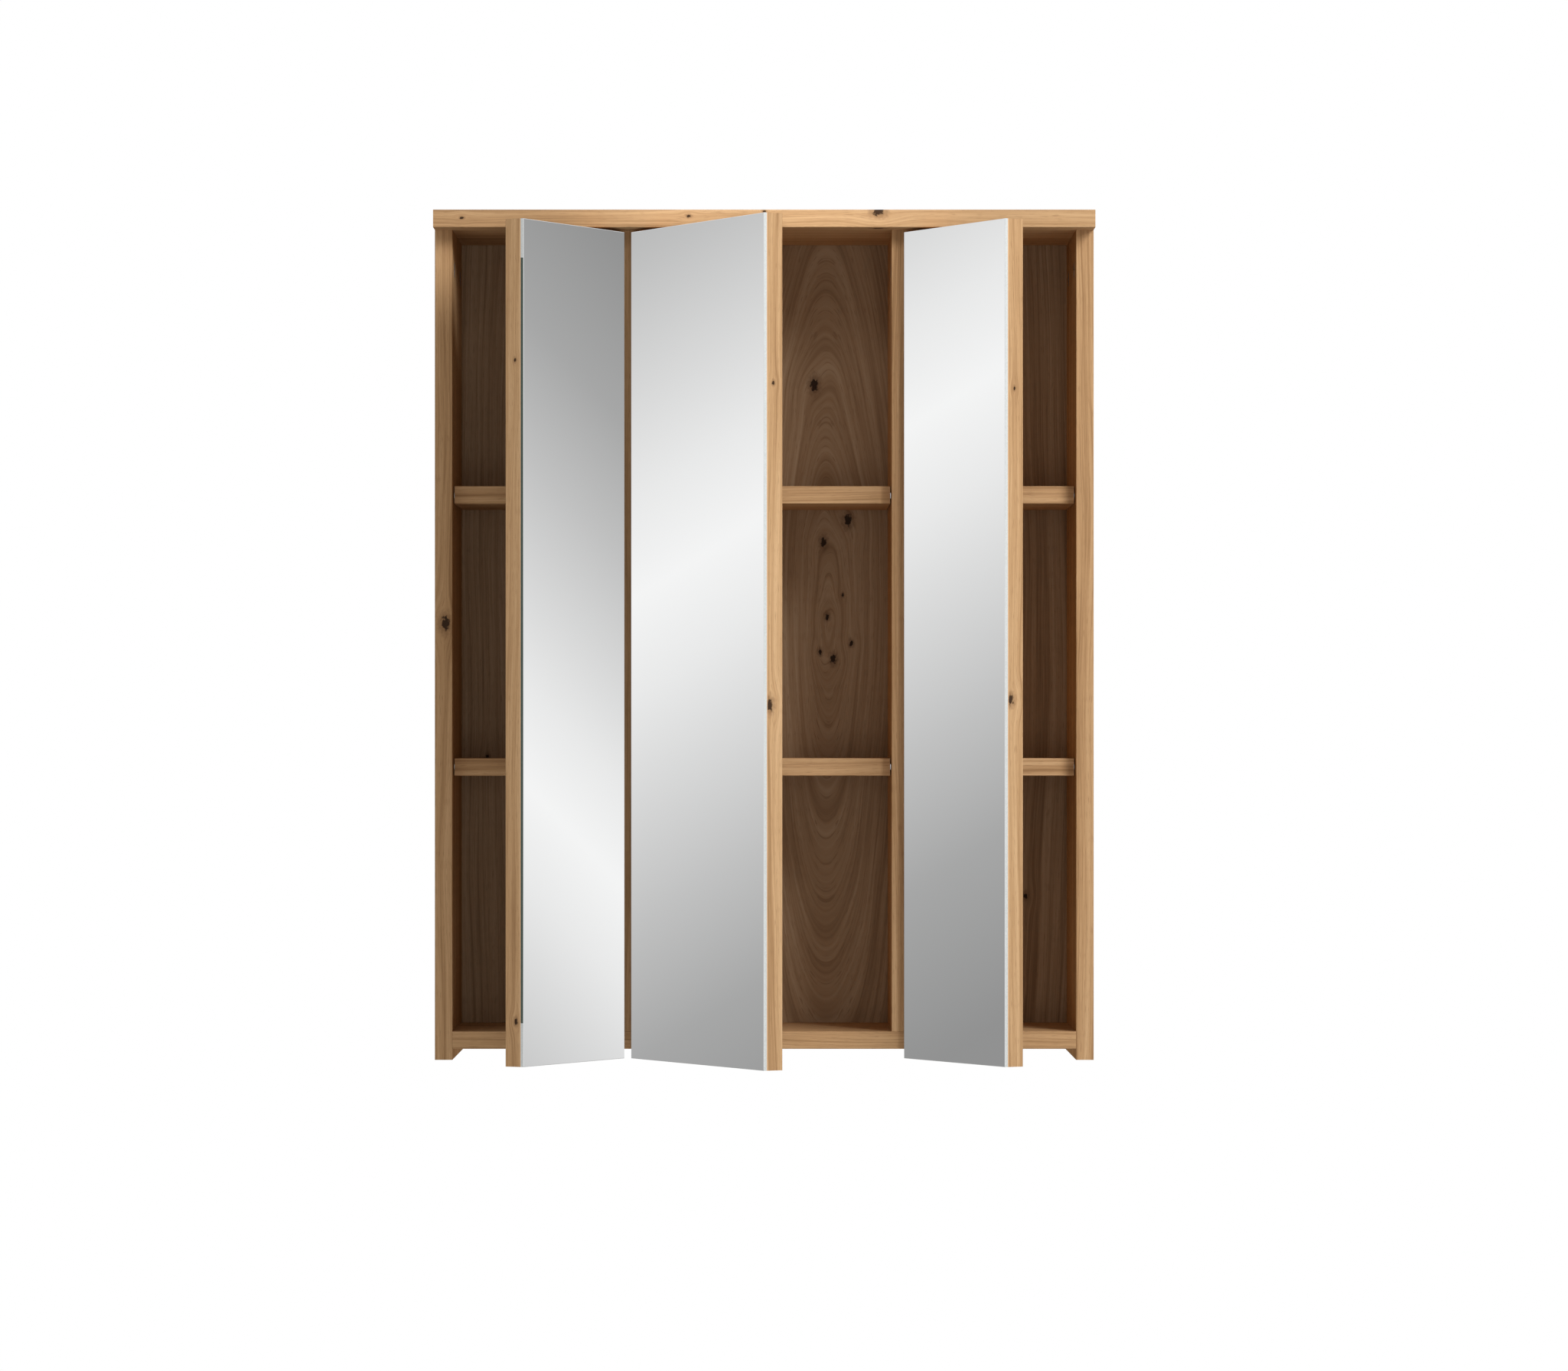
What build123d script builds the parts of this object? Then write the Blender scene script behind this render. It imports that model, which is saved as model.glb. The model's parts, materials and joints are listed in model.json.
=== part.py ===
from build123d import *
import math
import os

# A wall-hung bathroom cabinet with three mirror doors, standing open at the angle of the photograph.
# X runs to the right, Y towards the wall, Z up. The origin is on the wall, midway between the
# round entry holes of the two hanger plates. Heights below are counted from the side panels' feet
# and moved to that origin when a piece is written.

# Overall sizes
cabinet_width = 600.0
cabinet_height = 772.0
carcass_depth = 200.0
top_overhang = 30.0
board = 16.0
edge_radius = 0.8

# Bottom panel, back panel and shelves
bottom_lift = 10.0
back_space = 21.0
back_thickness = 3.0
groove_depth = 6.0
groove_clearance = 0.1
rows = 3
shelf_setback = 18.0
shelf_end_gap = 1.0

# Doors
middle_door_width = 245.0
door_gap = 3.0
door_top_gap = 3.0
door_foot_height = 2.0
door_back_gap = 2.0
door_board = 16.0
mirror_thickness = 3.0
mirror_bevel = 0.4
open_angle = 60.5
full_angle = 90.0

# Shelf pins
pin_radius = 2.5
pin_in_board = 7.0
pin_in_shelf = 10.0
pin_hole_clearance = 0.05
front_row = 37.0
rear_row_from_back = 32.0

# Cam fittings, dowels and the dividers' screws
cam_radius = 7.4
cam_depth = 12.3
cam_distance = 34.0
cam_clearance = 0.1
cam_slot_width = 1.6
cam_slot_half_length = 5.2
cam_slot_depth = 1.5
bolt_radius = 2.5
bolt_in_panel = 10.0
bolt_clearance = 0.05
dowel_radius = 4.0
dowel_length = 30.0
dowel_in_panel = 10.0
dowel_offset = 32.0
dowel_clearance = 0.05
long_screw_radius = 2.5
long_screw_length = 50.0
long_screw_head_radius = 4.5
long_screw_head_height = 3.0

# Hanger plates behind the back panel
hanger_sheet = 2.0
hanger_height_span = 44.0
hanger_reach = 42.0
hanger_side_depth = 18.0
hanger_below_top = 38.0
hanger_screw_inset = 8.8
keyhole_radius = 5.5
keyhole_neck = 5.5
keyhole_rise = 12.0
keyhole_from_side = 24.0

# Short wood screws
screw_radius = 1.75
screw_length = 11.0
screw_head_radius = 3.4
screw_head_height = 1.3
screw_clearance = 0.05
screw_hole_clearance = 0.4

# Hinge cups. On a closed door, u counts from its hinged edge and v from its back face towards the wall.
cup_radius = 17.5
cup_depth = 12.0
cup_edge = 3.0
cup_wall = 1.2
cup_floor = 1.0
cup_clearance = 0.05
ear_thickness = 1.0
ear_half_span = 30.0
ear_width = 13.0
ear_screw_offset = 6.0
ear_screw_spacing = 48.0
lug_width = 4.0
lug_sheet = 1.0
lug_gap = 0.4
stub_gap = 0.3

# Hinge pivots, in u and v of the closed door. The outer link turns back by a fixed share of the
# door's own turn, so the inner link's eye at the cup is open by eye_play.
arm_pivot = (21.4, 14.0)
cup_pivot = (8.6, -6.6)
arm_pivot_inner = (41.0, 7.9)
cup_pivot_inner = (13.9, -4.7)
outer_share = -1 / 3
eye_bias = (-0.63, 0.54)
eye_play = 1.3
pivot_radius = 1.0
inner_pin_radius = 0.8
arm_pin_radius = 1.2
running_clearance = 0.05
press_clearance = 0.02

# Hinge links. The outer link's bend is given as it passes round the fully open door's lip.
link_half_width = 0.9
eye_radius = 2.0
sleeve_radius = 2.4
outer_link_inside = 5.6
outer_link_outside = 7.2
inner_link_half = 3.9
neck_points = [(7.8, 0.6), (5.4, 3.3), (-2.5, 2.8)]

# Hinge arms and their mounting plates
arm_sheet = 1.4
arm_inside = 8.0
arm_top = 24.5
arm_underside = 3.5
arm_straight_from = 33.0
arm_shoulder = 4.0
arm_belly = 10.0
arm_heel = 9.6
arm_nose = 3.2
plate_sheet = 2.0
plate_wing_half = 24.0
plate_wing_width = 16.0
plate_screw_spacing = 32.0
plate_screw_setback = 37.0
rail_half_width = 7.8
rail_behind = 32.0
arm_behind = 34.0
arm_screw_behind = 16.0
arm_screw_radius = 2.0
arm_screw_head_radius = 4.0
arm_screw_head_height = 2.0
arm_screw_length = 10.0
outer_hinge_inset = 100.0
middle_hinge_inset = 145.0

# How far a cutting tool passes its face
overrun = 1.0

# Worked-out places
half_width = cabinet_width / 2
inner_half = half_width - board
side_height = cabinet_height - board
bottom_top = bottom_lift + board
divider_x = (middle_door_width + door_gap) / 2
side_door_width = (cabinet_width - middle_door_width - 2 * door_gap) / 2
door_height = side_height - door_top_gap - door_foot_height
front_plane = -carcass_depth
door_back = front_plane - door_back_gap
back_front = -back_space - back_thickness
divider_offset = (board - door_gap) / 2
bay_clear = side_height - bottom_top
row_clear = (bay_clear - (rows - 1) * board) / rows
hanger_top = side_height - hanger_below_top + hanger_height_span / 2
keyhole_height = hanger_top - hanger_height_span / 2 - keyhole_rise / 2
row_places = [front_plane + front_row, back_front - rear_row_from_back]
dowel_places = [row_places[0] + dowel_offset, row_places[1] - dowel_offset]
cup_u = cup_edge + cup_radius
cup_inside = cup_radius - cup_wall
lug_inside = inner_link_half + lug_gap
plate_v = door_back_gap + plate_screw_setback
arm_screw_v = plate_v + arm_screw_behind
arm_end = plate_v + arm_behind


def block(x0, x1, y0, y1, z0, z1):
    """A box between two corners."""
    middle = Pos((x0 + x1) / 2, (y0 + y1) / 2, (z0 + z1) / 2)
    return middle * Box(abs(x1 - x0), abs(y1 - y0), abs(z1 - z0))


def rod(radius, start, end):
    """A round bar between two points that lie along one axis."""
    run = Vector(*end) - Vector(*start)
    plane = Plane(origin=start, z_dir=run.normalized())
    return extrude(plane * Circle(radius), amount=run.length)


def soften(solid, axis, y):
    """Rounds the edges along one axis on the face at the given y."""
    near = edge_radius / 2
    chosen = [edge for edge in solid.edges().filter_by(axis) if abs(edge.center().Y - y) < near]
    return fillet(chosen, edge_radius)


def write(name, pieces):
    """Writes one node, moved from the side panels' feet to the hangers' height."""
    solids = []
    for piece in pieces:
        solids.extend(piece.solids())
    moved = [Pos(0, 0, -keyhole_height) * solid for solid in solids]
    shape = moved[0] if len(moved) == 1 else Compound(children=moved)
    export_step(shape, os.path.join("parts", name + ".step"))


def shelf_floor(row):
    """Height of the underside of the shelf above a row, counted from 0."""
    return bottom_top + (row + 1) * row_clear + row * board


# Joinery shared by the boards
def side_faces():
    """Inner faces of the two side panels as x and the direction into the panel."""
    return [(-inner_half, -1), (inner_half, 1)]


def upright_places():
    """Middle of each upright board under the top panel, and which way its cams face."""
    centre = half_width - board / 2
    return [(-centre, 1), (-divider_x, 1), (divider_x, -1), (centre, -1)]


def top_bolts(radius):
    """Cam bolts that stand in the top panel and reach down to the cams of the uprights."""
    pieces = []
    for x, _ in upright_places():
        for y in row_places:
            top = (x, y, side_height + bolt_in_panel)
            pieces.append(rod(radius, top, (x, y, side_height - cam_distance)))
    return pieces


def bottom_bolts(radius):
    """Cam bolts that stand in the side panels and reach in to the bottom panel's cams."""
    pieces = []
    height = bottom_lift + board / 2
    for x, way in side_faces():
        for y in row_places:
            outer = (x + way * bolt_in_panel, y, height)
            pieces.append(rod(radius, outer, (x - way * cam_distance, y, height)))
    return pieces


def top_cams(radius, depth):
    """Discs let into the inner faces of the uprights, under the top panel."""
    pieces = []
    height = side_height - cam_distance
    for x, way in upright_places():
        face = x + way * board / 2
        for y in row_places:
            pieces.append(rod(radius, (face, y, height), (face - way * depth, y, height)))
    return pieces


def bottom_cams(radius, depth):
    """Discs let into the underside of the bottom panel, near its ends."""
    pieces = []
    for x, way in side_faces():
        for y in row_places:
            start = (x - way * cam_distance, y, bottom_lift)
            pieces.append(rod(radius, start, (start[0], y, bottom_lift + depth)))
    return pieces


def top_dowels(radius, spare):
    """Dowels between the top panel and the uprights."""
    pieces = []
    for x, _ in upright_places():
        for y in dowel_places:
            top = side_height + dowel_in_panel + spare
            foot = side_height + dowel_in_panel - dowel_length - spare
            pieces.append(rod(radius, (x, y, top), (x, y, foot)))
    return pieces


def bottom_dowels(radius, spare):
    """Dowels between the side panels and the bottom panel."""
    pieces = []
    height = bottom_lift + board / 2
    for x, way in side_faces():
        for y in dowel_places:
            outer = x + way * (dowel_in_panel + spare)
            inner = x + way * (dowel_in_panel - dowel_length - spare)
            pieces.append(rod(radius, (outer, y, height), (inner, y, height)))
    return pieces


def divider_screws(spare):
    """Long screws up through the bottom panel into the dividers."""
    pieces = []
    for x in (-divider_x, divider_x):
        for y in row_places:
            neck = bottom_lift + long_screw_head_height
            head = rod(long_screw_head_radius + spare, (x, y, bottom_lift), (x, y, neck))
            tip = bottom_lift + long_screw_length + spare
            shank = rod(long_screw_radius + spare, (x, y, bottom_lift), (x, y, tip))
            pieces.append(head + shank)
    return pieces


def pin_line(face, way, y, z, radius, spare):
    """One pin that stands in a board's face and reaches into the end of a shelf."""
    inner = shelf_end_gap + pin_in_shelf + spare
    start = (face - way * (pin_in_board + spare), y, z)
    return rod(radius, start, (face + way * inner, y, z))


def bay_faces():
    """Left and right inner face of each bay."""
    left = -divider_x - board / 2
    right = divider_x + board / 2
    return [
        ("left", -inner_half, left),
        ("middle", -divider_x + board / 2, divider_x - board / 2),
        ("right", right, inner_half),
    ]


def shelf_pins(spare_radius, spare_length):
    """Four pins in the ends of each shelf."""
    pieces = []
    for _, low, high in bay_faces():
        for row in range(rows - 1):
            z = shelf_floor(row) + board / 2
            for y in row_places:
                for face, way in ((low, 1), (high, -1)):
                    radius = pin_radius + spare_radius
                    pieces.append(pin_line(face, way, y, z, radius, spare_length))
    return pieces


# Hinge geometry, in u and v of a door
def turned(point, centre, angle):
    """A point turned about a centre the way a door opens: from +u towards the viewer."""
    cosine = math.cos(math.radians(angle))
    sine = math.sin(math.radians(angle))
    du = point[0] - centre[0]
    dv = point[1] - centre[1]
    return (centre[0] + cosine * du + sine * dv, centre[1] - sine * du + cosine * dv)


def on_open_door(point, angle):
    """Where a point of the closed door lies when the door stands open."""
    pivot = turned(cup_pivot, arm_pivot, outer_share * angle)
    spot = turned(point, cup_pivot, angle)
    return (pivot[0] + spot[0] - cup_pivot[0], pivot[1] + spot[1] - cup_pivot[1])


def outer_link_route():
    """The outer link's centre line in the closed door: cup eye, bend and arm eye."""
    swing = (1 - outer_share) * full_angle
    bend = [turned(point, cup_pivot, swing) for point in neck_points]
    return [cup_pivot] + bend + [arm_pivot]


def doors():
    """Name, hinged edge, way to the free edge, width and hinge inset of each door."""
    side_edge = middle_door_width / 2 + door_gap
    return [
        ("left", -side_edge, -1, side_door_width, outer_hinge_inset),
        ("middle", -middle_door_width / 2, 1, middle_door_width, middle_hinge_inset),
        ("right", side_edge, 1, side_door_width, outer_hinge_inset),
    ]


class HingedDoor:
    """Turns u and v of one door into places in the cabinet, closed or at rest."""

    def __init__(self, name, edge, way, width, inset):
        self.name = name
        self.edge = edge
        self.way = way
        self.width = width
        low = door_foot_height + inset
        high = door_foot_height + door_height - inset
        self.hinge_heights = [low, high]

    def spot(self, point):
        return (self.edge + self.way * point[0], door_back + point[1])

    def bar(self, radius, point, z0, z1):
        """A round bar along the hinge axis."""
        x, y = self.spot(point)
        return rod(radius, (x, y, z0), (x, y, z1))

    def plate(self, points, z0, z1):
        """A flat plate with the given outline, square to the hinge axis."""
        outline = [self.spot(point) for point in points]
        face = make_face(Polyline(*outline, close=True))
        return Pos(0, 0, z0) * extrude(face, amount=z1 - z0, dir=(0, 0, 1))

    def strap(self, route, half_width, z0, z1):
        """A bent strip with round joints along a route."""
        solid = None
        for start, end in zip(route, route[1:]):
            run = math.dist(start, end)
            du = (end[0] - start[0]) / run * half_width
            dv = (end[1] - start[1]) / run * half_width
            corners = [
                (start[0] - dv, start[1] + du),
                (end[0] - dv, end[1] + du),
                (end[0] + dv, end[1] - du),
                (start[0] + dv, start[1] - du),
            ]
            piece = self.plate(corners, z0, z1) + self.bar(half_width, end, z0, z1)
            solid = piece if solid is None else solid + piece
        return solid

    def across(self, u0, u1, v0, v1, z0, z1):
        x0, y0 = self.spot((u0, v0))
        x1, y1 = self.spot((u1, v1))
        return block(x0, x1, y0, y1, z0, z1)

    def drill(self, radius, u, z, v0, v1):
        """A round bar square to the door."""
        x, y0 = self.spot((u, v0))
        return rod(radius, (x, y0, z), (x, y0 + v1 - v0, z))

    def sideways(self, radius, v, z, u0, u1):
        """A round bar along the door's width."""
        x0, y = self.spot((u0, v))
        x1, _ = self.spot((u1, v))
        return rod(radius, (x0, y, z), (x1, y, z))

    def turn(self, solid, centre, angle):
        """Turns a solid about a pivot the way the door opens."""
        x, y = self.spot(centre)
        return Pos(x, y, 0) * Rot(0, 0, -self.way * angle) * Pos(-x, -y, 0) * solid

    def opened(self, solid):
        """Moves a solid of the closed door to the rest pose."""
        swung = self.turn(solid, cup_pivot, open_angle)
        x0, y0 = self.spot(cup_pivot)
        x1, y1 = self.spot(turned(cup_pivot, arm_pivot, outer_share * open_angle))
        return Pos(x1 - x0, y1 - y0, 0) * swung

    def linked(self, solid):
        """Moves a solid of the closed outer link to the rest pose."""
        return self.turn(solid, arm_pivot, outer_share * open_angle)

    def plate_screw_places(self):
        places = []
        for height in self.hinge_heights:
            for step in (-plate_screw_spacing / 2, plate_screw_spacing / 2):
                places.append((plate_v, height + step))
        return places

    def ear_screw_places(self):
        u = cup_u + ear_screw_offset
        places = []
        for height in self.hinge_heights:
            for step in (-ear_screw_spacing / 2, ear_screw_spacing / 2):
                places.append((u, height + step))
        return places


hung_doors = [HingedDoor(*values) for values in doors()]


# Carcass boards
def plate_pilot_holes(way):
    """Pilot holes of the mounting plates' screws, on the divider faces towards one way."""
    pieces = []
    for door in hung_doors:
        if door.way != way:
            continue
        for v, z in door.plate_screw_places():
            depth = divider_offset - screw_length - screw_clearance
            radius = screw_radius + screw_clearance
            pieces.append(door.sideways(radius, v, z, divider_offset, depth))
    return pieces


def cut(solid, tools):
    """Takes away only the tools that reach the solid."""
    box = solid.bounding_box()
    for tool in tools:
        other = tool.bounding_box()
        apart = (
            other.max.X < box.min.X
            or other.min.X > box.max.X
            or other.max.Y < box.min.Y
            or other.min.Y > box.max.Y
            or other.max.Z < box.min.Z
            or other.min.Z > box.max.Z
        )
        if not apart:
            solid = solid - tool
    return solid


def back_groove():
    """The space that the back panel's groove takes out of the boards round it."""
    side = inner_half + groove_depth + groove_clearance
    foot = bottom_top - groove_depth - groove_clearance
    head = side_height + groove_depth + groove_clearance
    front = back_front - groove_clearance
    rear = -back_space + groove_clearance
    return block(-side, side, front, rear, foot, head)


def joinery_holes():
    tools = [back_groove()]
    tools += top_bolts(bolt_radius + bolt_clearance)
    tools += bottom_bolts(bolt_radius + bolt_clearance)
    tools += top_cams(cam_radius + cam_clearance, cam_depth + cam_clearance)
    tools += bottom_cams(cam_radius + cam_clearance, cam_depth + cam_clearance)
    tools += top_dowels(dowel_radius + dowel_clearance, dowel_clearance)
    tools += bottom_dowels(dowel_radius + dowel_clearance, dowel_clearance)
    tools += divider_screws(screw_clearance)
    tools += shelf_pins(pin_hole_clearance, pin_hole_clearance)
    tools += hanger_screws(screw_clearance)
    tools += plate_pilot_holes(1)
    tools += plate_pilot_holes(-1)
    return tools


def top_panel():
    front = front_plane - top_overhang
    solid = block(-half_width, half_width, front, 0, side_height, cabinet_height)
    return soften(solid, Axis.X, front)


def bottom_panel():
    solid = block(-inner_half, inner_half, front_plane, 0, bottom_lift, bottom_top)
    return soften(solid, Axis.X, front_plane)


def side_panel(way):
    inner = way * inner_half
    outer = way * half_width
    solid = block(inner, outer, front_plane, 0, 0, side_height)
    return soften(solid, Axis.Z, front_plane)


def divider(way):
    low = way * divider_x - board / 2
    solid = block(low, low + board, front_plane, back_front, bottom_top, side_height)
    return soften(solid, Axis.Z, front_plane)


def back_panel():
    side = inner_half + groove_depth
    foot = bottom_top - groove_depth
    return block(-side, side, back_front, -back_space, foot, side_height + groove_depth)


def shelf(low, high, row):
    front = front_plane + shelf_setback
    z = shelf_floor(row)
    solid = block(low + shelf_end_gap, high - shelf_end_gap, front, back_front, z, z + board)
    solid = soften(solid, Axis.X, front)
    return cut(solid, shelf_pins(pin_hole_clearance, pin_hole_clearance))


# Carcass fittings
def cam_body(disc, bolt_hole, centre, axis):
    """A cam housing: a disc with the bolt's hole and a cross slot in its face."""
    solid = disc - bolt_hole
    reach = cam_slot_half_length
    half = cam_slot_width / 2
    x, y, z = centre
    deep = cam_slot_depth
    if axis == "x":
        slots = [
            block(x - deep, x + deep, y - reach, y + reach, z - half, z + half),
            block(x - deep, x + deep, y - half, y + half, z - reach, z + reach),
        ]
    else:
        slots = [
            block(x - reach, x + reach, y - half, y + half, z - deep, z + deep),
            block(x - half, x + half, y - reach, y + reach, z - deep, z + deep),
        ]
    for slot in slots:
        solid = solid - slot
    return solid


def cam_housings():
    pieces = []
    discs = top_cams(cam_radius, cam_depth)
    bolts = top_bolts(bolt_radius + bolt_clearance)
    centres = []
    for x, way in upright_places():
        for y in row_places:
            centres.append((x + way * board / 2, y, side_height - cam_distance))
    for disc, bolt, centre in zip(discs, bolts, centres):
        pieces.append(cam_body(disc, bolt, centre, "x"))
    discs = bottom_cams(cam_radius, cam_depth)
    bolts = bottom_bolts(bolt_radius + bolt_clearance)
    centres = []
    for x, way in side_faces():
        for y in row_places:
            centres.append((x - way * cam_distance, y, bottom_lift))
    for disc, bolt, centre in zip(discs, bolts, centres):
        pieces.append(cam_body(disc, bolt, centre, "z"))
    return pieces


def hanger_heights():
    low = hanger_top - hanger_height_span
    return [low + hanger_screw_inset, hanger_top - hanger_screw_inset]


def hanger(way):
    """An angle of sheet steel with a keyhole, its side flange on the side panel."""
    low = hanger_top - hanger_height_span
    inner = way * inner_half
    side = block(inner, inner - way * hanger_sheet, -hanger_side_depth, 0, low, hanger_top)
    face = block(inner, inner - way * hanger_reach, -hanger_sheet, 0, low, hanger_top)
    solid = side + face
    x = way * (inner_half - keyhole_from_side)
    front = -hanger_sheet - overrun
    entry = rod(keyhole_radius, (x, front, keyhole_height), (x, overrun, keyhole_height))
    neck_top = keyhole_height + keyhole_rise
    half = keyhole_neck / 2
    neck = block(x - half, x + half, front, overrun, keyhole_height, neck_top)
    crown = rod(half, (x, front, neck_top), (x, overrun, neck_top))
    solid = solid - entry - neck - crown
    y = -(hanger_side_depth + hanger_sheet) / 2
    for z in hanger_heights():
        radius = screw_radius + screw_hole_clearance
        start = (inner + way * overrun, y, z)
        solid = solid - rod(radius, start, (inner - way * (hanger_sheet + overrun), y, z))
    return solid


def hanger_screws(spare):
    """Screws that hold the hanger plates to the side panels."""
    pieces = []
    y = -(hanger_side_depth + hanger_sheet) / 2
    for way in (-1, 1):
        face = way * (inner_half - hanger_sheet)
        for z in hanger_heights():
            tip = face + way * (screw_length + spare)
            shank = rod(screw_radius + spare, (face, y, z), (tip, y, z))
            top = face - way * screw_head_height
            head = rod(screw_head_radius, (face, y, z), (top, y, z))
            pieces.append(shank + head)
    return pieces


# Hinge parts on the carcass
def mounting_plate(door, height):
    """A cross-shaped plate on the divider with a rail that the arm sits over."""
    top = divider_offset + plate_sheet
    front = plate_v - plate_wing_width / 2
    rear = plate_v + plate_wing_width / 2
    low = height - plate_wing_half
    wings = door.across(divider_offset, top, front, rear, low, height + plate_wing_half)
    rail_top = arm_top - arm_sheet
    rail_rear = plate_v + rail_behind
    low = height - rail_half_width
    rail = door.across(divider_offset, rail_top, front, rail_rear, low, height + rail_half_width)
    solid = wings + rail
    radius = screw_radius + screw_hole_clearance
    for screw_v, z in door.plate_screw_places():
        if abs(z - height) < plate_wing_half:
            hole = door.sideways(radius, screw_v, z, divider_offset - overrun, top + overrun)
            solid = solid - hole
    depth = arm_top - arm_screw_length - screw_clearance
    tapped = arm_screw_radius + screw_clearance
    return solid - door.sideways(tapped, arm_screw_v, height, rail_top + overrun, depth)


def plate_screws(door):
    pieces = []
    face = divider_offset + plate_sheet
    for v, z in door.plate_screw_places():
        tip = divider_offset - screw_length
        shank = door.sideways(screw_radius, v, z, face, tip)
        head = door.sideways(screw_head_radius, v, z, face, face + screw_head_height)
        pieces.append(shank + head)
    return pieces


def arm_outline():
    """The arm's side view: a nose that holds both pivots and a straight back."""
    under = divider_offset + arm_underside
    inner_u, inner_v = arm_pivot_inner
    outer_u, outer_v = arm_pivot
    return [
        (inner_u - arm_nose, inner_v - arm_nose),
        (inner_u + arm_nose, inner_v - arm_nose),
        (inner_u + arm_nose, inner_v + arm_nose),
        (arm_top + arm_shoulder, arm_straight_from - arm_shoulder),
        (arm_top, arm_straight_from),
        (arm_top, arm_end),
        (under, arm_end),
        (under, arm_straight_from + arm_belly),
        (outer_u - arm_nose, outer_v + arm_heel),
        (outer_u - arm_nose, outer_v),
        (outer_u, outer_v - arm_nose),
    ]


def arm_cover_outline():
    """The arm's bent top sheet in side view, from the inner pivot to the back."""
    nose_u = arm_pivot_inner[0] + arm_nose
    nose_v = arm_pivot_inner[1] + arm_nose
    shoulder = arm_top + arm_shoulder
    shoulder_v = arm_straight_from - arm_shoulder
    return [
        (nose_u, nose_v),
        (shoulder, shoulder_v),
        (arm_top, arm_straight_from),
        (arm_top, arm_end),
        (arm_top - arm_sheet, arm_end),
        (arm_top - arm_sheet, arm_straight_from - arm_sheet / 2),
        (shoulder - arm_sheet, shoulder_v - arm_sheet),
        (nose_u - arm_sheet, nose_v - arm_sheet / 2),
    ]


def hinge_arm(door, height):
    """A folded arm: two flanges that hold the pins, and a sheet across them."""
    outside = arm_inside + arm_sheet
    solid = door.plate(arm_cover_outline(), height - outside, height + outside)
    for low, high in ((-outside, -arm_inside), (arm_inside, outside)):
        solid = solid + door.plate(arm_outline(), height + low, height + high)
    reach = outside + overrun
    radius = arm_pin_radius + press_clearance
    for pivot in (arm_pivot, arm_pivot_inner):
        solid = solid - door.bar(radius, pivot, height - reach, height + reach)
    radius = arm_screw_radius + screw_hole_clearance
    under = arm_top - arm_sheet - overrun
    return solid - door.sideways(radius, arm_screw_v, height, under, arm_top + overrun)


def arm_screw(door, height):
    v = arm_screw_v
    shank = door.sideways(arm_screw_radius, v, height, arm_top, arm_top - arm_screw_length)
    top = arm_top + arm_screw_head_height
    return shank + door.sideways(arm_screw_head_radius, v, height, arm_top, top)


def arm_pins(door, height):
    half = arm_inside + arm_sheet
    return [
        door.bar(arm_pin_radius, pivot, height - half, height + half)
        for pivot in (arm_pivot, arm_pivot_inner)
    ]


# Hinge links
def outer_link(door, height):
    """Two bent straps joined by the sleeve that turns on the arm's pin."""
    route = outer_link_route()
    reach = outer_link_outside
    solid = door.bar(sleeve_radius, arm_pivot, height - reach, height + reach)
    for low, high in ((-reach, -outer_link_inside), (outer_link_inside, reach)):
        strap = door.strap(route, link_half_width, height + low, height + high)
        eye = door.bar(eye_radius, cup_pivot, height + low, height + high)
        solid = solid + strap + eye
    far = reach + overrun
    pin = arm_pin_radius + running_clearance
    solid = solid - door.bar(pin, arm_pivot, height - far, height + far)
    stub = pivot_radius + running_clearance
    solid = solid - door.bar(stub, cup_pivot, height - far, height + far)
    return door.linked(solid)


def inner_link(door, height):
    """The straight link from the arm's nose to the cup, with an open eye at the cup."""
    pin = on_open_door(cup_pivot_inner, open_angle)
    eye = (pin[0] + eye_bias[0], pin[1] + eye_bias[1])
    low = height - inner_link_half
    high = height + inner_link_half
    open_radius = inner_pin_radius + eye_play
    solid = door.strap([arm_pivot_inner, eye], link_half_width, low, high)
    solid = solid + door.bar(sleeve_radius, arm_pivot_inner, low, high)
    solid = solid + door.bar(open_radius + link_half_width, eye, low, high)
    bore = arm_pin_radius + running_clearance
    solid = solid - door.bar(bore, arm_pivot_inner, low - overrun, high + overrun)
    return solid - door.bar(open_radius, eye, low - overrun, high + overrun)


# Door pieces
def cup(door, height):
    """A round cup with two ears, the holes of the outer pivot and two inner lugs."""
    shell = door.drill(cup_radius, cup_u, height, -cup_depth, 0)
    ear_low = cup_u - ear_width / 2 + ear_screw_offset
    ear_high = ear_low + ear_width
    bottom = height - ear_half_span
    top = height + ear_half_span
    ears = door.across(ear_low, ear_high, 0, ear_thickness, bottom, top)
    solid = shell + ears
    hollow_top = ear_thickness + overrun
    solid = solid - door.drill(cup_inside, cup_u, height, cup_floor - cup_depth, hollow_top)
    pin_u, pin_v = cup_pivot_inner
    half = lug_width / 2
    root = cup_floor / 2 - cup_depth
    for low in (height - lug_inside - lug_sheet, height + lug_inside):
        high = low + lug_sheet
        solid = solid + door.across(pin_u - half, pin_u + half, root, pin_v + half, low, high)
    radius = inner_pin_radius + press_clearance
    reach = lug_inside + lug_sheet + press_clearance
    solid = solid - door.bar(radius, cup_pivot_inner, height - reach, height + reach)
    stub = pivot_radius + press_clearance
    wide = cup_stub_reach() + press_clearance
    solid = solid - door.bar(stub, cup_pivot, height - wide, height + wide)
    for u, z in door.ear_screw_places():
        if abs(z - height) < ear_half_span:
            radius = screw_radius + screw_hole_clearance
            solid = solid - door.drill(radius, u, z, -overrun, hollow_top)
    return solid


def cup_stub_reach():
    """How far from the hinge's middle the outer pivot's stubs end, within the cup's wall."""
    offset = cup_u - cup_pivot[0] + pivot_radius
    return math.sqrt(cup_radius**2 - offset**2) - press_clearance


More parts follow.
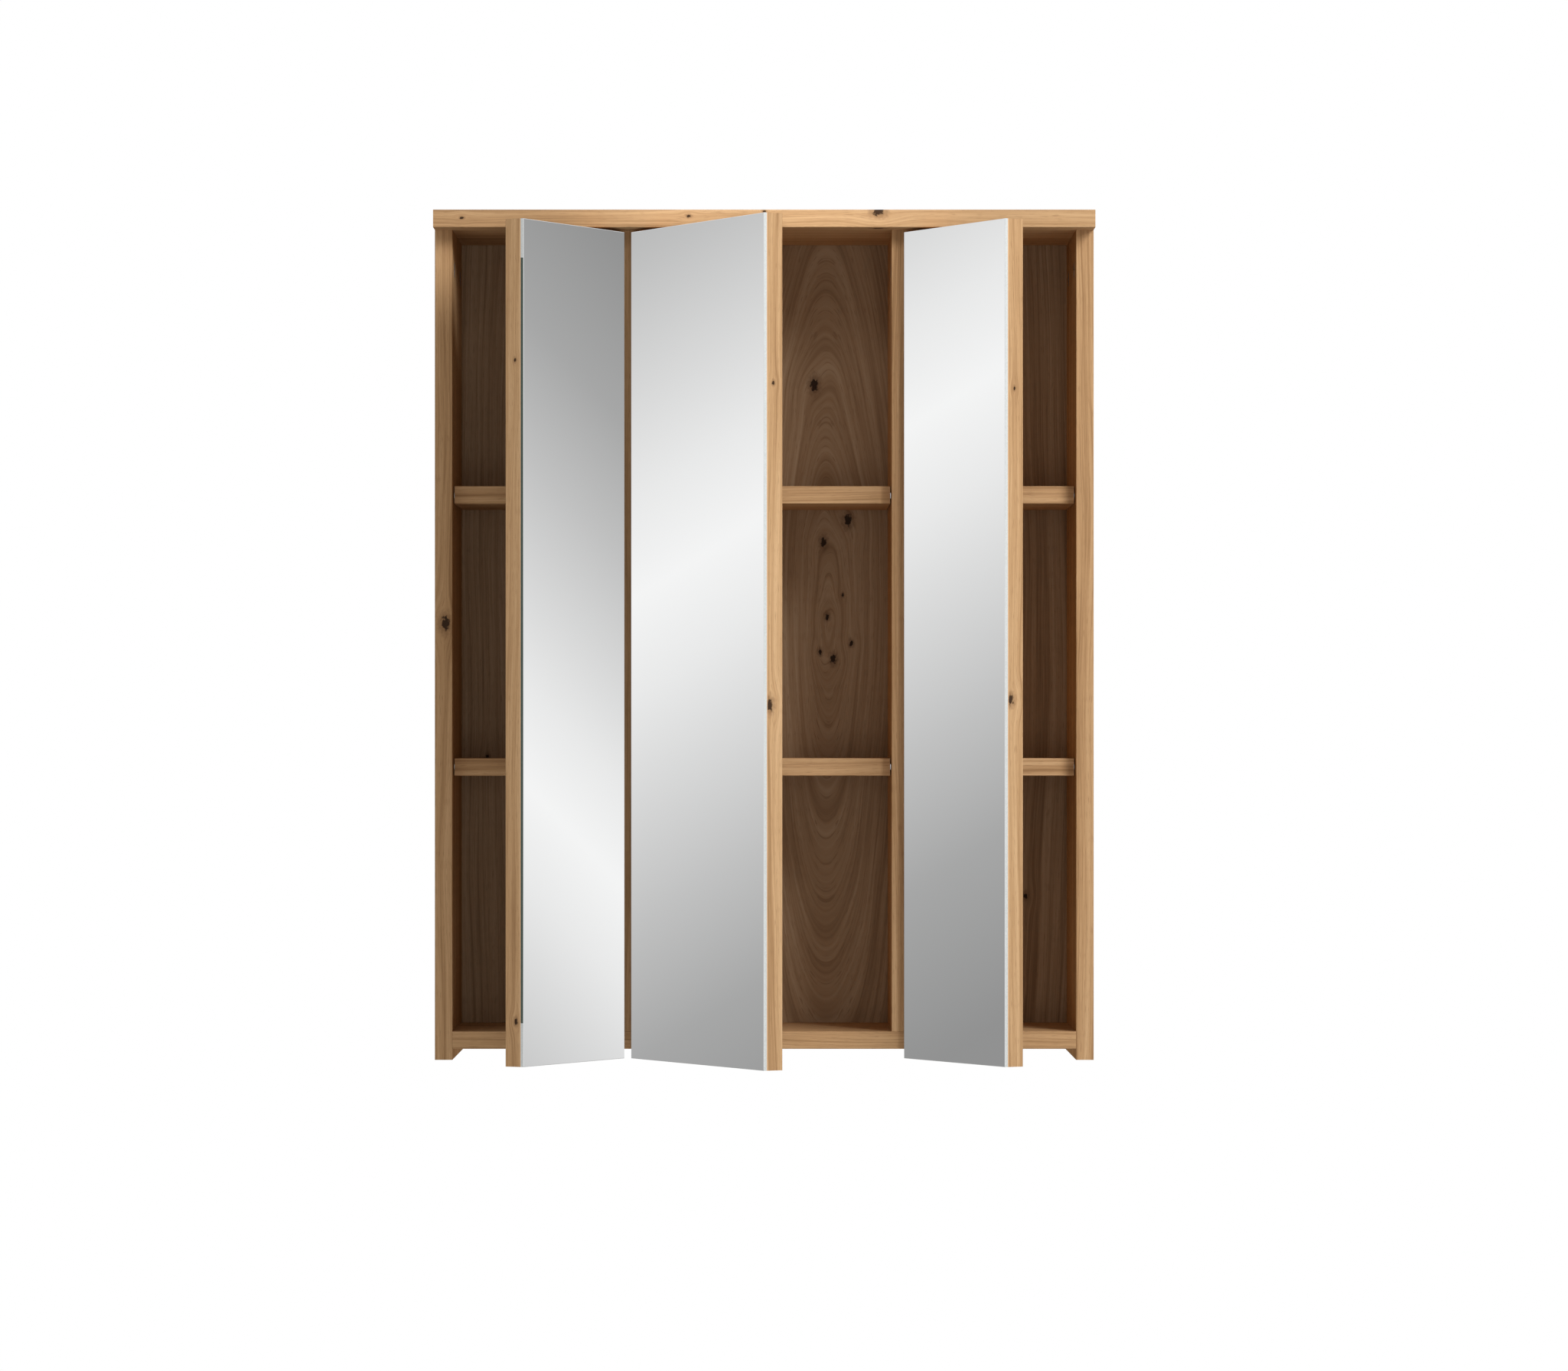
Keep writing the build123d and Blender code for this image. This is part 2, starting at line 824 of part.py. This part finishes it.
def cup_pins(door, height):
    """Two stubs for the outer link and one short pin for the inner link."""
    wide = cup_stub_reach()
    near = outer_link_inside - stub_gap
    reach = lug_inside + lug_sheet
    return [
        door.bar(pivot_radius, cup_pivot, height - wide, height - near),
        door.bar(pivot_radius, cup_pivot, height + near, height + wide),
        door.bar(inner_pin_radius, cup_pivot_inner, height - reach, height + reach),
    ]


def cup_screws(door):
    pieces = []
    face = ear_thickness
    for u, z in door.ear_screw_places():
        shank = door.drill(screw_radius, u, z, face - screw_length, face)
        head = door.drill(screw_head_radius, u, z, face, face + screw_head_height)
        pieces.append(shank + head)
    return pieces


def door_panel(door):
    foot = door_foot_height
    head = door_foot_height + door_height
    solid = door.across(0, door.width, -door_board, 0, foot, head)
    solid = soften(solid, Axis.Z, door_back)
    floor = -cup_depth - cup_clearance
    radius = cup_radius + cup_clearance
    for height in door.hinge_heights:
        solid = solid - door.drill(radius, cup_u, height, floor, overrun)
    tip = ear_thickness - screw_length - screw_clearance
    radius = screw_radius + screw_clearance
    for u, z in door.ear_screw_places():
        solid = solid - door.drill(radius, u, z, tip, overrun)
    return solid


def mirror_glass(door):
    foot = door_foot_height
    head = door_foot_height + door_height
    face = -door_board - mirror_thickness
    solid = door.across(0, door.width, face, -door_board, foot, head)
    front = solid.faces().sort_by(Axis.Y)[0]
    return chamfer(front.edges(), mirror_bevel)


def write_carcass():
    tools = joinery_holes()
    boards = {
        "top_panel": top_panel(),
        "bottom_panel": bottom_panel(),
        "left_side_panel": side_panel(-1),
        "right_side_panel": side_panel(1),
        "left_divider": divider(-1),
        "right_divider": divider(1),
    }
    for name, solid in boards.items():
        write(name, [cut(solid, tools)])
    write("back_panel", [back_panel()])
    shelf_names = ["lower", "upper"]
    for side, low, high in bay_faces():
        for row in range(rows - 1):
            write(f"{side}_{shelf_names[row]}_shelf", [shelf(low, high, row)])
    write("shelf_pins", shelf_pins(0, 0))
    write("cam_housings", cam_housings())
    write("cam_bolts", top_bolts(bolt_radius) + bottom_bolts(bolt_radius))
    write("wood_dowels", top_dowels(dowel_radius, 0) + bottom_dowels(dowel_radius, 0))
    write("divider_screws", divider_screws(0))
    write("left_wall_hanger", [hanger(-1)])
    write("right_wall_hanger", [hanger(1)])
    write("wall_hanger_screws", hanger_screws(0))


def write_hinges():
    plates = []
    plate_fixings = []
    arms = []
    arm_fixings = []
    pins = []
    for door in hung_doors:
        plate_fixings += plate_screws(door)
        for height in door.hinge_heights:
            plates.append(mounting_plate(door, height))
            arms.append(hinge_arm(door, height))
            arm_fixings.append(arm_screw(door, height))
            pins += arm_pins(door, height)
    write("hinge_mounting_plates", plates)
    write("hinge_plate_screws", plate_fixings)
    write("hinge_arms", arms)
    write("hinge_arm_screws", arm_fixings)
    write("hinge_arm_pins", pins)


def write_door(door):
    heights = door.hinge_heights
    cup_pieces = [cup(door, height) for height in heights]
    pin_pieces = []
    for height in heights:
        pin_pieces += cup_pins(door, height)
    groups = {
        "door_panel": [door_panel(door)],
        "mirror": [mirror_glass(door)],
        "hinge_cups": cup_pieces,
        "hinge_cup_pins": pin_pieces,
        "hinge_cup_screws": cup_screws(door),
    }
    for name, pieces in groups.items():
        write(f"{door.name}_{name}", [door.opened(piece) for piece in pieces])
    write(f"{door.name}_outer_links", [outer_link(door, height) for height in heights])
    write(f"{door.name}_inner_links", [inner_link(door, height) for height in heights])


os.makedirs("parts", exist_ok=True)
write_carcass()
write_hinges()
for hung in hung_doors:
    write_door(hung)
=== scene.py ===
import bpy
import json
import math
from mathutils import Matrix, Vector

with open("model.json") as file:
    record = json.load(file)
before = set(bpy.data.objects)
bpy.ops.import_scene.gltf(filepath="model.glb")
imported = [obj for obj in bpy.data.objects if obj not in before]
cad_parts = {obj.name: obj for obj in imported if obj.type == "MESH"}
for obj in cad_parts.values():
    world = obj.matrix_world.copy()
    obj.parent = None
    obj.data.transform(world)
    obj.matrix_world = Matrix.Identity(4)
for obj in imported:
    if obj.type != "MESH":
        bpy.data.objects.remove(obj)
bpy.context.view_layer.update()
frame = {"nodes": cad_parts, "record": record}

scene = bpy.context.scene
scene.view_settings.view_transform = "Standard"


def make_camera():
    """The camera at the photograph's viewing angle, level and square to the cabinet's front."""
    data = bpy.data.cameras.new("camera")
    data.lens = 142.2
    data.sensor_width = 36.0
    data.shift_x = 0.0126
    data.shift_y = 0.0337
    data.clip_end = 100.0
    camera = bpy.data.objects.new("camera", data)
    camera.location = (0.0, -5.840, -0.4191)
    camera.rotation_euler = (math.radians(90.0), 0.0, 0.0)
    scene.collection.objects.link(camera)
    scene.camera = camera


class Nodes:
    """Short calls that add and link shader nodes in one tree."""

    def __init__(self, tree):
        self.tree = tree
        tree.nodes.clear()

    def add(self, kind, **settings):
        """A new node of a kind, with its settings."""
        node = self.tree.nodes.new(kind)
        for key, value in settings.items():
            setattr(node, key, value)
        return node

    def put(self, socket, value):
        """Link another node's output to a socket, or set its plain value."""
        if isinstance(value, bpy.types.NodeSocket):
            self.tree.links.new(value, socket)
        else:
            socket.default_value = value

    def math(self, operation, first, second=None):
        node = self.add("ShaderNodeMath", operation=operation)
        for socket, value in zip(node.inputs, (first, second)):
            if value is not None:
                self.put(socket, value)
        return node.outputs[0]

    def plus(self, first, second):
        return self.math("ADD", first, second)

    def minus(self, first, second):
        return self.math("SUBTRACT", first, second)

    def times(self, first, second):
        return self.math("MULTIPLY", first, second)

    def dot(self, vector, axis):
        node = self.add("ShaderNodeVectorMath", operation="DOT_PRODUCT")
        self.put(node.inputs[0], vector)
        self.put(node.inputs[1], axis)
        return node.outputs["Value"]

    def vector(self, x, y, z=0.0):
        node = self.add("ShaderNodeCombineXYZ")
        for socket, value in zip(node.inputs, (x, y, z)):
            self.put(socket, value)
        return node.outputs[0]

    def noise(self, vector, scale=1.0, detail=2.0, roughness=0.5):
        node = self.add("ShaderNodeTexNoise", noise_dimensions="3D")
        self.put(node.inputs["Vector"], vector)
        self.put(node.inputs["Scale"], scale)
        self.put(node.inputs["Detail"], detail)
        self.put(node.inputs["Roughness"], roughness)
        return node.outputs["Fac"]

    def step(self, value, low, high, out_low=0.0, out_high=1.0):
        """A smooth change from out_low to out_high as value goes from low to high."""
        node = self.add("ShaderNodeMapRange", interpolation_type="SMOOTHSTEP")
        for socket, number in zip(node.inputs, (value, low, high, out_low, out_high)):
            self.put(socket, number)
        return node.outputs[0]

    def ramp(self, value, stops):
        node = self.add("ShaderNodeValToRGB")
        elements = node.color_ramp.elements
        while len(elements) < len(stops):
            elements.new(0.5)
        for element, (place, colour) in zip(elements, stops):
            element.position = place
            element.color = (*colour, 1.0)
        self.put(node.inputs[0], value)
        return node.outputs[0]

    def mix(self, share, first, second, blend="MIX"):
        node = self.add("ShaderNodeMix", data_type="RGBA", blend_type=blend)
        self.put(node.inputs["Factor"], share)
        for socket, value in zip((node.inputs[6], node.inputs[7]), (first, second)):
            self.put(socket, (*value, 1.0) if isinstance(value, tuple) else value)
        return node.outputs[2]

    def bump(self, height, strength, distance):
        node = self.add("ShaderNodeBump")
        node.inputs["Strength"].default_value = strength
        node.inputs["Distance"].default_value = distance
        self.put(node.inputs["Height"], height)
        return node.outputs[0]

    def finish(self, **inputs):
        """The principled shader with these inputs, as the material's surface."""
        shader = self.add("ShaderNodeBsdfPrincipled")
        for key, value in inputs.items():
            socket = shader.inputs[key.replace("_", " ")]
            self.put(socket, (*value, 1.0) if isinstance(value, tuple) else value)
        out = self.add("ShaderNodeOutputMaterial")
        self.tree.links.new(shader.outputs[0], out.inputs["Surface"])


def material(name):
    """A new material and the node calls for its tree."""
    made = bpy.data.materials.new(name)
    made.use_nodes = True
    return made, Nodes(made.node_tree)


RIGHT = (1.0, 0.0, 0.0)
BACK = (0.0, 1.0, 0.0)
UP = (0.0, 0.0, 1.0)

OAK_DARK = (0.36, 0.205, 0.098)
OAK_MID = (0.535, 0.325, 0.165)
OAK_LIGHT = (0.66, 0.43, 0.235)
KNOT_CORE = (0.035, 0.02, 0.014)
KNOT_RIM = (0.22, 0.115, 0.055)
# A painted highlight: the peach line of light caught on the door boards' edges beside the glass
PAINTED_HIGHLIGHT = (0.88, 0.58, 0.36)
BACK_TINT = (0.70, 0.78, 0.94)
GLASS_PALE = ((0.62, 0.65, 0.64), (0.70, 0.73, 0.72))
GLASS_GREEN = ((0.045, 0.068, 0.055), (0.06, 0.088, 0.07))
SILVER = (0.93, 0.935, 0.935)
NICKEL = (0.72, 0.70, 0.67)
ZINC = (0.62, 0.63, 0.64)
CAST_ZINC = (0.30, 0.28, 0.26)
BEECH_DARK = (0.5, 0.34, 0.19)
BEECH_LIGHT = (0.66, 0.48, 0.3)
FLOOR_DARK = (0.80, 0.80, 0.80)
FLOOR_LIGHT = (0.84, 0.84, 0.84)

# Knots in the oak: length against width, how far the grain bends round one, and how strongly
KNOT_FLATNESS = 0.62
KNOT_BEND_FALL = -0.16
KNOT_BEND = 0.85
# The grain's slow wander and its fine ripple across a board, metres
WANDER = 0.030
RIPPLE = 0.0026
# Half width of the painted highlight line beside the glass, metres
PAINTED_HIGHLIGHT_OUTSIDE = 0.0010
PAINTED_HIGHLIGHT_INSIDE = 0.0006
# Width of the change from pale to green on a glass edge, metres
SPAN_BLUR = 0.0005
# A face counts as an end or edge where its normal lies this close to an axis
FACE_FROM = 0.85
FACE_TO = 0.95


def grain_lines(n, p, q, seed, knots, figure):
    """The place of each point in the grain, and how far it lies in a knot's core and rim."""
    wander = n.noise(n.vector(n.times(p, 9.0), n.times(q, 1.6), seed), detail=2.0)
    ripple = n.noise(n.vector(n.times(p, 60.0), n.times(q, 9.0), seed + 3.1), detail=2.0)
    line = n.plus(p, n.times(n.minus(wander, 0.5), WANDER))
    line = n.plus(line, n.times(n.minus(ripple, 0.5), RIPPLE))
    core = None
    rim = None
    for knot_p, knot_q, size in knots:
        dp = n.minus(p, knot_p)
        dq = n.minus(q, knot_q)
        sideways = n.math("POWER", n.times(dp, 1 / size), 2.0)
        lengthways = n.math("POWER", n.times(dq, KNOT_FLATNESS / size), 2.0)
        near = n.plus(sideways, lengthways)
        pull = n.math("EXPONENT", n.times(near, KNOT_BEND_FALL))
        line = n.minus(line, n.times(n.times(dp, pull), KNOT_BEND))
        ragged = n.noise(n.vector(n.times(p, 420.0), n.times(q, 300.0), seed), detail=3.0)
        edge = n.plus(n.math("SQRT", near), n.times(n.minus(ragged, 0.5), 1.1))
        this_core = n.step(edge, 0.62, 0.36)
        this_rim = n.step(edge, 1.35, 0.5)
        core = this_core if core is None else n.math("MAXIMUM", core, this_core)
        rim = this_rim if rim is None else n.math("MAXIMUM", rim, this_rim)
    if figure is not None:
        figure_p, figure_q, flatness = figure
        side = n.math("POWER", n.minus(line, figure_p), 2.0)
        rise = n.math("POWER", n.times(n.minus(q, figure_q), flatness), 2.0)
        line = n.math("SQRT", n.plus(side, rise))
    return line, core, rim


def oak(name, across, along, seed, knots=(), figure=None, tint=None, painted_highlight=None, band=BACK):
    """Light knotty oak decor, its grain along one axis, and along the band on the board's ends.

    Knots are lists of place across, place along and size. A figure is the middle of the arched
    grain, with its flatness. A painted highlight is a lighter peach line painted beside the glass on
    the faces of one axis, standing in for light caught at the board's edge.
    """
    made, n = material(name)
    coordinates = n.add("ShaderNodeTexCoord")
    place = coordinates.outputs["Object"]
    normal = coordinates.outputs["Normal"]
    on_end = n.step(n.math("ABSOLUTE", n.dot(normal, along)), FACE_FROM, FACE_TO)
    along_band = n.times(on_end, n.dot(place, band))
    p = n.minus(n.dot(place, across), along_band)
    q = n.plus(n.dot(place, along), along_band)
    line, core, rim = grain_lines(n, p, q, seed, knots, figure)
    ring_place = n.vector(n.times(line, 210.0), n.times(q, 1.2), seed + 7.7)
    rings = n.noise(ring_place, detail=3.0, roughness=0.62)
    streaks = n.noise(n.vector(n.times(line, 900.0), n.times(q, 13.0), seed + 1.3), detail=2.0)
    pores = n.noise(n.vector(n.times(line, 2100.0), n.times(q, 85.0), seed + 5.9), detail=1.0)
    broad = n.noise(n.vector(n.times(p, 14.0), n.times(q, 2.4), seed + 9.2), detail=2.0)
    shade = n.plus(n.times(rings, 0.56), n.times(streaks, 0.30))
    shade = n.plus(shade, n.times(broad, 0.14))
    colour = n.ramp(shade, [(0.36, OAK_DARK), (0.49, OAK_MID), (0.63, OAK_LIGHT)])
    colour = n.mix(n.step(pores, 0.58, 0.72, 0.0, 0.55), colour, OAK_DARK)
    if rim is not None:
        colour = n.mix(n.times(rim, 0.55), colour, KNOT_RIM)
        colour = n.mix(n.times(core, 0.92), colour, KNOT_CORE)
    # Painted highlight: a lighter peach line on the door's free edge beside the glass, standing in
    # for light caught at the board's edge
    if painted_highlight is not None:
        edge_axis, boundary = painted_highlight
        on_edge = n.step(n.math("ABSOLUTE", n.dot(normal, edge_axis)), FACE_FROM, FACE_TO)
        at_glass = n.step(n.math("ABSOLUTE", n.minus(p, boundary)), PAINTED_HIGHLIGHT_OUTSIDE, PAINTED_HIGHLIGHT_INSIDE)
        colour = n.mix(n.times(n.times(on_edge, at_glass), 0.7), colour, PAINTED_HIGHLIGHT)
    if tint is not None:
        colour = n.mix(1.0, colour, tint, "MULTIPLY")
    height = n.minus(n.times(shade, 0.6), n.step(pores, 0.58, 0.72, 0.0, 0.5))
    n.finish(
        Base_Color=colour,
        Roughness=n.step(shade, 0.3, 0.7, 0.62, 0.5),
        Normal=n.bump(height, 0.25, 0.0003),
        Specular_IOR_Level=0.0,
    )
    return made


def paint(node, made):
    """Give every material slot of a CAD node one material."""
    cad = frame["nodes"][node]
    if not cad.material_slots:
        cad.data.materials.append(made)
    for slot in cad.material_slots:
        slot.material = made


def mirror_material(name, width_way, green_span=None):
    """Silvered float glass: its face reflects, and its ground edges are pale, or green in a span."""
    made, n = material(name)
    coordinates = n.add("ShaderNodeTexCoord")
    place = coordinates.outputs["Object"]
    face = n.math("ABSOLUTE", n.dot(coordinates.outputs["Normal"], width_way))
    is_edge = n.step(face, 0.80, 0.90)
    grain = n.step(n.noise(place, scale=900.0, detail=2.0), 0.3, 0.7)
    edge = n.mix(grain, *GLASS_PALE)
    if green_span is not None:
        low, high = green_span
        level = n.dot(place, UP)
        over_low = n.step(level, low, low + SPAN_BLUR)
        under_high = n.step(level, high, high - SPAN_BLUR)
        edge = n.mix(n.times(over_low, under_high), edge, n.mix(grain, *GLASS_GREEN))
    haze = n.noise(place, scale=6.0, detail=3.0)
    n.finish(
        Base_Color=n.mix(is_edge, SILVER, edge),
        Metallic=n.minus(1.0, is_edge),
        Roughness=n.mix(is_edge, n.step(haze, 0.3, 0.7, 0.012, 0.02), (0.3, 0.3, 0.3)),
    )
    return made


def metal(name, colour, roughness, grain_scale, shine=1.0):
    """Cloudy plated metal, or with no shine a dull casting."""
    made, n = material(name)
    place = n.add("ShaderNodeTexCoord").outputs["Object"]
    cloud = n.noise(place, scale=grain_scale, detail=3.0)
    fine = n.noise(place, scale=grain_scale * 6, detail=2.0)
    dull = tuple(c * 0.82 for c in colour)
    n.finish(
        Base_Color=n.mix(n.step(cloud, 0.35, 0.65), colour, dull),
        Metallic=shine,
        Specular_IOR_Level=0.5 * shine,
        Roughness=n.step(cloud, 0.3, 0.7, roughness * 0.8, roughness * 1.25),
        Normal=n.bump(fine, 0.08, 0.0001),
    )
    return made


OPEN_ANGLE = math.radians(60.5)
SIDEWAYS = (1.0, 1.0, 0.0)
FRONT_AND_TOP = (0.0, 1.0, 1.0)

# Knots of the boards: place across the grain, place along it, and size, in metres
TOP_KNOTS = [
    (-0.1722, 0.1035, 0.0060),
    (-0.176, -0.0684, 0.0022),
    (-0.1715, 0.0, 0.0018),
    (-0.1776, -0.274, 0.0019),
]
LEFT_SIDE_KNOTS = [(-0.4904, -0.3145, 0.0072)]
BACK_KNOTS = [
    (0.0469, -0.0870, 0.0068),
    (0.0786, -0.2142, 0.0066),
    (0.0556, -0.2350, 0.0052),
    (0.0737, -0.2845, 0.0020),
    (0.0590, -0.3050, 0.0034),
    (0.0816, -0.3300, 0.0032),
    (0.0525, -0.3380, 0.0030),
    (0.0648, -0.3445, 0.0050),
    (0.2453, -0.5670, 0.0034),
    (0.2380, -0.6526, 0.0022),
    (-0.2600, -0.4370, 0.0030),
]
# The middle of the arched grain on the back panel, and its flatness
BACK_FIGURE = (0.058, -0.315, 0.16)

# The doors: the way each opens, and knots on its free edge as distance behind the glass, height, size
DOORS = (
    ("left", -1, [(0.0058, -0.0840, 0.0020), (0.0050, -0.6700, 0.0032)]),
    ("middle", 1, [(0.0066, -0.1080, 0.0022), (0.0026, -0.3900, 0.0060)]),
    ("right", 1, [(0.0068, -0.1090, 0.0020), (0.0030, -0.3850, 0.0050)]),
)
# Heights between which the left mirror's free edge is green
GREEN_SPANS = {"left": (-0.6715, 0.0065)}


def door_axes(way):
    """Direction from the hinged edge to the free edge of the open door, and out of its mirror."""
    width = Vector((way * math.cos(OPEN_ANGLE), -math.sin(OPEN_ANGLE), 0.0))
    out = Vector((-way * math.sin(OPEN_ANGLE), -math.cos(OPEN_ANGLE), 0.0))
    return width, out


def glass_boundary(mirror, width, out):
    """The place across a door's edge where its glass ends and its board begins."""
    corners = [vertex.co for vertex in frame["nodes"][mirror].data.vertices]
    free_edge = max(corner.dot(width) for corner in corners)
    glass_back = min(corner.dot(out) for corner in corners)
    return free_edge + glass_back


def paint_carcass():
    """The top, the bottom, the upright boards, the back panel and the shelves."""
    paint("top_panel", oak("oak_top", FRONT_AND_TOP, RIGHT, 1.0, knots=TOP_KNOTS))
    paint("bottom_panel", oak("oak_bottom", FRONT_AND_TOP, RIGHT, 2.0))
    paint("left_side_panel", oak("oak_left_side", SIDEWAYS, UP, 3.0, knots=LEFT_SIDE_KNOTS))
    paint("right_side_panel", oak("oak_right_side", SIDEWAYS, UP, 4.0))
    paint("left_divider", oak("oak_left_divider", SIDEWAYS, UP, 5.0))
    paint("right_divider", oak("oak_right_divider", SIDEWAYS, UP, 6.0))
    back = oak("oak_back", RIGHT, UP, 8.0, knots=BACK_KNOTS, figure=BACK_FIGURE, tint=BACK_TINT)
    paint("back_panel", back)
    seed = 11.0
    for bay in ("left", "middle", "right"):
        for row in ("lower", "upper"):
            shelf = f"{bay}_{row}_shelf"
            paint(shelf, oak(f"oak_{shelf}", FRONT_AND_TOP, RIGHT, seed))
            seed += 1.0


def paint_doors():
    """Each door's oak board with its banded edge, and its mirror."""
    for number, (door, way, marks) in enumerate(DOORS):
        width, out = door_axes(way)
        boundary = glass_boundary(f"{door}_mirror", width, out)
        board = oak(
            f"oak_{door}_door",
            tuple(width + out),
            UP,
            21.0 + number,
            knots=[(boundary - behind, height, size) for behind, height, size in marks],
            # The painted highlight line beside the glass on the door's free edge
            painted_highlight=(tuple(width), boundary),
            band=tuple(width),
        )
        paint(f"{door}_door_panel", board)
        glass = mirror_material(f"glass_{door}", tuple(width), GREEN_SPANS.get(door))
        paint(f"{door}_mirror", glass)


def beech():
    """Pale, finely striped wood of the dowels."""
    made, n = material("beech")
    place = n.add("ShaderNodeTexCoord").outputs["Object"]
    stripe_place = n.vector(n.times(n.dot(place, (1.0, 1.0, 1.0)), 700.0), 1.0, 0.0)
    stripes = n.noise(stripe_place, detail=2.0)
    n.finish(Base_Color=n.ramp(stripes, [(0.3, BEECH_DARK), (0.7, BEECH_LIGHT)]), Roughness=0.6)
    return made


def paint_fittings():
    """Nickel, zinc and steel fittings by their slots in the record, and the wood dowels."""
    nickel = metal("nickel", NICKEL, 0.24, 220.0)
    zinc = metal("zinc_steel", ZINC, 0.38, 160.0)
    for entry in frame["record"]["subparts"]:
        if entry["material_slot"] == "nickel":
            paint(entry["node"], nickel)
        elif entry["material_slot"] in ("steel", "zinc"):
            paint(entry["node"], zinc)
    paint("cam_housings", metal("cast_zinc", CAST_ZINC, 0.6, 160.0, shine=0.0))
    paint("wood_dowels", beech())


def make_floor():
    """A pale floor well below the hung cabinet."""
    mesh = bpy.data.meshes.new("floor")
    reach = 4.0
    level = -1.9
    corners = [
        (-reach, -reach, level),
        (reach, -reach, level),
        (reach, reach, level),
        (-reach, reach, level),
    ]
    mesh.from_pydata(corners, [], [(0, 1, 2, 3)])
    floor = bpy.data.objects.new("floor", mesh)
    scene.collection.objects.link(floor)
    made, n = material("floor_paint")
    place = n.add("ShaderNodeTexCoord").outputs["Object"]
    mottle = n.noise(place, scale=3.0, detail=4.0)
    n.finish(Base_Color=n.mix(mottle, FLOOR_DARK, FLOOR_LIGHT), Roughness=0.8)
    mesh.materials.append(made)
    return floor


def area_lamp(name, level, size, place, target):
    """A soft round lamp, with its level as the share of a plain white that it gives at its target."""
    data = bpy.data.lights.new(name, "AREA")
    data.shape = "DISK"
    data.size = size
    lamp = bpy.data.objects.new(name, data)
    lamp.location = place
    way = Vector(target) - Vector(place)
    data.energy = level * math.pi**2 * way.length_squared
    lamp.rotation_euler = way.to_track_quat("-Z", "Y").to_euler()
    scene.collection.objects.link(lamp)
    lamp.visible_glossy = False
    return lamp


def make_lamps():
    """A soft key lamp from the right, a weak fill, and a strip that brightens the top's front."""
    middle = Vector((0.0, -0.25, -0.30))
    key_distance = 2.8
    key_side = math.radians(36)
    key_rise = math.radians(29)
    key_way = Vector((
        math.sin(key_side) * math.cos(key_rise),
        -math.cos(key_side) * math.cos(key_rise),
        math.sin(key_rise),
    ))
    area_lamp("key", 0.66, 1.1, middle + key_distance * key_way, middle)
    area_lamp("front_fill", 0.10, 1.6, (0.0, -4.6, -0.6), middle)
    strip = area_lamp("top_strip", 0.80, 0.25, (-0.005, -0.325, 0.088), (-0.005, -0.230, 0.052))
    strip.data.shape = "RECTANGLE"
    strip.data.size_y = 0.02


# The soft band of light in the mirrors, in degrees: a place on it, and its slope, on either side
BAND_RIGHT = (29.3, -0.955, -1.05)
BAND_LEFT = (147.7, 1.24, 0.62)
BAND_REACH = 20.0
# How grey the mirrors' surroundings are, from the band's middle outwards as shares of its reach
BAND_GREYS = [
    (0.0, 0.97),
    (0.046, 0.87),
    (0.085, 0.755),
    (0.152, 0.565),
    (0.215, 0.41),
    (0.30, 0.305),
    (0.45, 0.29),
    (1.0, 0.75),
]
WORLD_LIGHT = (1.0, 0.985, 0.965, 1.0)
WORLD_LEVEL = 0.38


def background(n, colour, strength=1.0):
    """An even background shader."""
    node = n.add("ShaderNodeBackground")
    n.put(node.inputs["Color"], colour)
    n.put(node.inputs["Strength"], strength)
    return node.outputs[0]


def mix_shaders(n, share, first, second):
    """One shader that goes over into another."""
    node = n.add("ShaderNodeMixShader")
    n.put(node.inputs[0], share)
    n.put(node.inputs[1], first)
    n.put(node.inputs[2], second)
    return node.outputs[0]


def band_grey(n):
    """The grey of the world around the mirrors, brightest along a tilted band."""
    direction = n.add("ShaderNodeTexCoord").outputs["Generated"]
    degrees = 180 / math.pi
    height = n.times(n.math("ARCSINE", n.dot(direction, UP)), degrees)
    right_share = n.dot(direction, RIGHT)
    azimuth = n.times(n.math("ARCTAN2", n.dot(direction, BACK), right_share), degrees)
    bands = []
    for band_azimuth, band_height, slope in (BAND_LEFT, BAND_RIGHT):
        bands.append(n.plus(n.times(n.minus(azimuth, band_azimuth), slope), band_height))
    is_left = n.math("LESS_THAN", right_share, 0.0)
    band = n.plus(n.times(bands[0], is_left), n.times(bands[1], n.minus(1.0, is_left)))
    off_band = n.math("ABSOLUTE", n.minus(height, band))
    stops = [(place, (grey,) * 3) for place, grey in BAND_GREYS]
    return n.ramp(n.times(off_band, 1 / BAND_REACH), stops)


def make_world():
    """An even soft light, a white background, and the band of light for glossy rays."""
    world = bpy.data.worlds.new("studio")
    scene.world = world
    world.use_nodes = True
    n = Nodes(world.node_tree)
    path = n.add("ShaderNodeLightPath").outputs
    not_bounced = n.math("LESS_THAN", path["Diffuse Depth"], 0.5)
    seen = n.math("MAXIMUM", path["Is Camera Ray"], path["Is Transmission Ray"])
    in_mirror = n.times(path["Is Glossy Ray"], not_bounced)
    lit = background(n, WORLD_LIGHT, WORLD_LEVEL)
    mirrored = mix_shaders(n, in_mirror, lit, background(n, band_grey(n)))
    shown = mix_shaders(n, seen, mirrored, background(n, (1.0, 1.0, 1.0, 1.0)))
    out = n.add("ShaderNodeOutputWorld")
    n.put(out.inputs["Surface"], shown)


make_camera()
paint_carcass()
paint_doors()
paint_fittings()
# The photograph's mirrors show none of the cabinet, so no piece of it is seen in a reflection
for cad in frame["nodes"].values():
    cad.visible_glossy = False
floor = make_floor()
make_lamps()
make_world()
